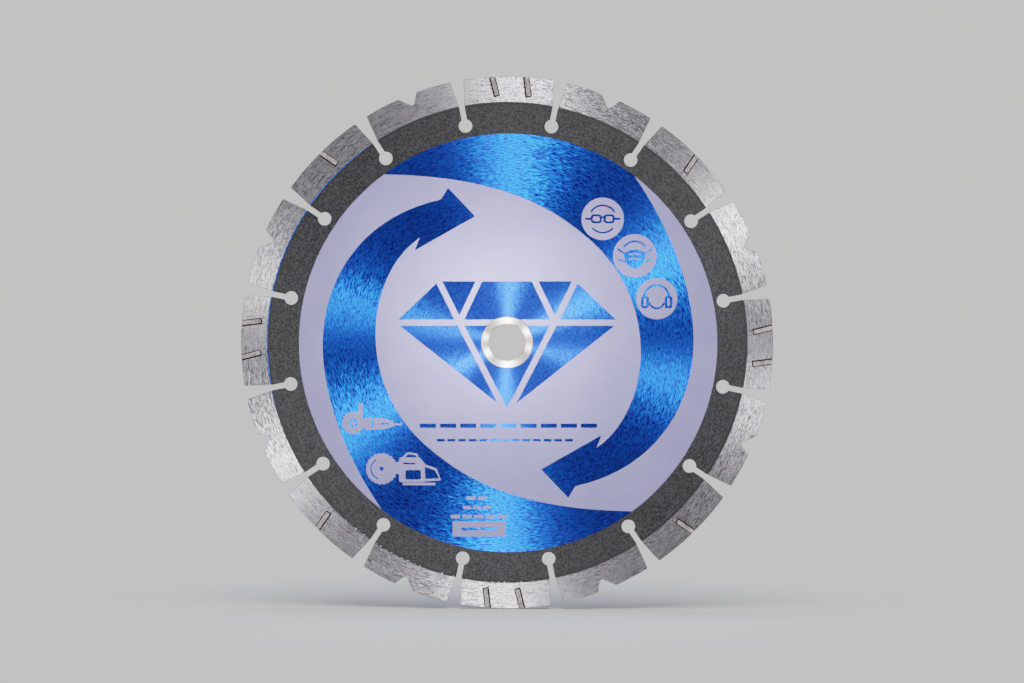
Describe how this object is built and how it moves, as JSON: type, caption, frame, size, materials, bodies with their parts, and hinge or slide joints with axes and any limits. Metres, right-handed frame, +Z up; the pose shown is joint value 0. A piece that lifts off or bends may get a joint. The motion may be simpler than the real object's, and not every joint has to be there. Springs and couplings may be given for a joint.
{
  "type": "diamond blade",
  "caption": "Segmented diamond saw blade: a flat steel disc with keyhole gullets, diamond segments welded to its rim and a reducer bushing in its arbor hole.",
  "frame": {"origin": "the middle of the arbor hole, halfway through the plate's thickness", "axes": "+Y is the spin axis, from the printed front face (at -Y) to the plain back face; +Z is up, through the top segment with two inlays; +X is to the right seen from the front"},
  "size_m": [0.2286, 0.0026, 0.2286],
  "materials": {
    "core_lacquer": "blue lacquer over circular-brushed steel, metallic, gloss",
    "rim_coat": "charcoal textured coat, fine speckle, satin",
    "print_ink": "pale lavender-grey screen-print ink, satin",
    "segment_metal": "sintered diamond and metal bond, side faces ground along their length, open pores",
    "inlay_metal": "matte pinkish sintered bond, unground",
    "weld_bead": "laser weld bead, dark heat tint with bright specks",
    "bushing_steel": "turned zinc-plated steel, warm satin"
  },
  "bodies": {
    "blade": {"steel_core": "core_lacquer", "segment_twin_1": "segment_metal", "inlay_twin_1a": "inlay_metal", "inlay_twin_1b": "inlay_metal", "segment_single_1": "segment_metal", "inlay_single_1": "inlay_metal", "segment_twin_2": "segment_metal", "inlay_twin_2a": "inlay_metal", "inlay_twin_2b": "inlay_metal", "segment_single_2": "segment_metal", "inlay_single_2": "inlay_metal", "segment_twin_3": "segment_metal", "inlay_twin_3a": "inlay_metal", "inlay_twin_3b": "inlay_metal", "segment_single_3": "segment_metal", "inlay_single_3": "inlay_metal", "segment_twin_4": "segment_metal", "inlay_twin_4a": "inlay_metal", "inlay_twin_4b": "inlay_metal", "segment_single_4": "segment_metal", "inlay_single_4": "inlay_metal", "segment_notch_1": "segment_metal", "segment_notch_2": "segment_metal", "segment_notch_3": "segment_metal", "segment_notch_4": "segment_metal", "segment_notch_5": "segment_metal", "segment_notch_6": "segment_metal", "segment_notch_7": "segment_metal", "segment_notch_8": "segment_metal"},
    "reducer": {"reducer_bushing": "bushing_steel"}
  },
  "joints": [
    {"name": "bushing_push_out", "type": "slide", "parent": "blade", "child": "reducer", "axis": [0, -1, 0], "range_m": [-0.006, 0.006]}
  ]
}
